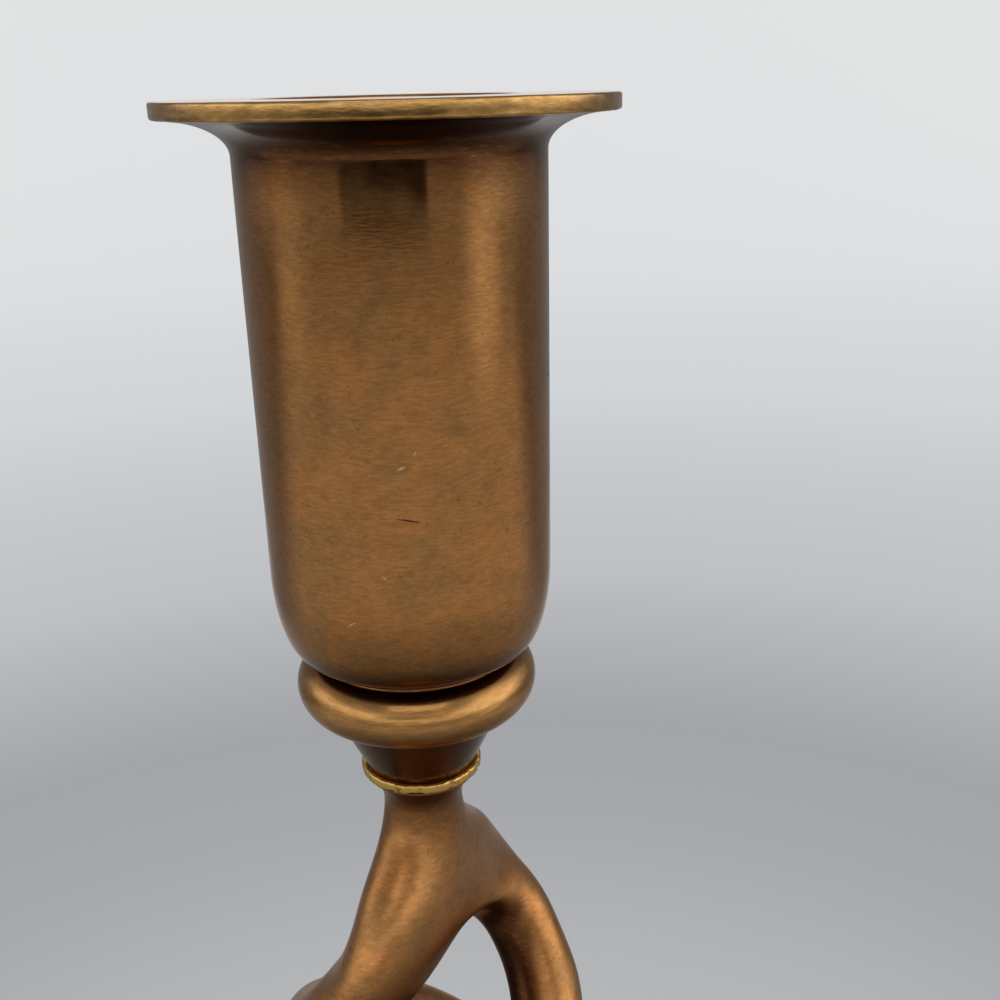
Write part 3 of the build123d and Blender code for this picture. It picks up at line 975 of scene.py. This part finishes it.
# Light: two glows with soft edges low at the sides, a soft box above, and a plain pale room that
# is brightest above the horizon, dim at the back, and lit from a window on the right.
def glow(name, place, width, height, brightness):
    """Upright sheet that faces the holder and shines most in its middle, not at its edges."""
    away = Vector((place[0], place[1], 0)).to_track_quat("Z", "Y").to_matrix().to_4x4()
    bm = bmesh.new()
    bmesh.ops.create_grid(bm, x_segments=1, y_segments=1, size=1, matrix=(
        Matrix.Translation(place) @ away @ Matrix.Diagonal((width / 2, height / 2, 1, 1))))
    material, tree, _ = new_material(name)
    from_middle = add_node(tree, "Mapping", {
        "Vector": object_place(tree), "Location": place,
        "Scale": (width / 2, width / 2, height / 2)}, vector_type="TEXTURE")
    share = ramp(tree, length_of(tree, from_middle.outputs["Vector"]), 1.0, 0.15)
    strength = maths(tree, "MULTIPLY", share, brightness)
    shine = add_node(tree, "Emission", {"Color": grey(1.0), "Strength": strength})
    both = add_node(tree, "AddShader")
    tree.links.new(shine.outputs[0], both.inputs[0])
    tree.links.new(add_node(tree, "BsdfTransparent").outputs[0], both.inputs[1])
    tree.links.new(both.outputs[0], tree.nodes["Material Output"].inputs["Surface"])
    stage_piece(name, bm, material, seen=False)


glow("left_glow", place=(-0.8, -0.12, 0.11), width=0.6, height=0.2, brightness=0.25)
glow("right_glow", place=(0.72, -0.34, 0.1), width=0.66, height=0.22, brightness=0.6)

softbox_place = Vector((0, -0.5, 1.1))
softbox_aim = Vector((0, 0, cup_high.z * 0.8))
softbox_brightness = 1.2
softbox = bpy.data.lights.new("top_softbox", "AREA")
softbox.shape = "RECTANGLE"
softbox.size, softbox.size_y = 0.8, 0.5
softbox.energy = softbox_brightness * pi * softbox.size * softbox.size_y
lamp = bpy.data.objects.new("top_softbox", softbox)
bpy.context.scene.collection.objects.link(lamp)
facing = (softbox_place - softbox_aim).to_track_quat("Z", "Y")
lamp.matrix_world = Matrix.Translation(softbox_place) @ facing.to_matrix().to_4x4()

world = bpy.data.worlds.new("room")
world.use_nodes = True
room = world.node_tree
heading = add_node(room, "TexCoord").outputs["Generated"]
heading_parts = add_node(room, "SeparateXYZ", {"Vector": heading}).outputs
window = Vector((0.92, -0.15, 0.42)).normalized()
to_window = add_node(room, "VectorMath", {0: heading, 1: window}, operation="DOT_PRODUCT")
walls = colour_stops(room, heading_parts["Z"], 1.0, (
    (0.0, grey(0.5)), (0.08, grey(0.95)), (0.2, grey(1.75)), (0.38, grey(1.55)),
    (0.55, grey(0.7)), (0.8, grey(0.4))))
# in front, at the back and at the window: where it starts, where it is full, share and brightness
for factor, start, full, amount, brightness in (
        (heading_parts["Y"], -0.5, -0.85, 0.12, 0.08),
        (heading_parts["Y"], 0.15, 0.6, 0.8, 0.28),
        (to_window.outputs["Value"], 0.82, 0.98, 0.6, 2.4)):
    share = maths(room, "MULTIPLY", ramp(room, factor, start, full), amount)
    walls = blend_colours(room, share, walls, grey(brightness))
seen_by_camera = add_node(room, "LightPath").outputs["Is Camera Ray"]
shown = blend_colours(room, seen_by_camera, walls, srgb(226, 227, 228))
room.links.new(shown, room.nodes["Background"].inputs["Color"])
room.nodes["Background"].inputs["Strength"].default_value = 1.0
bpy.context.scene.world = world
bpy.context.scene.view_settings.view_transform = "Standard"
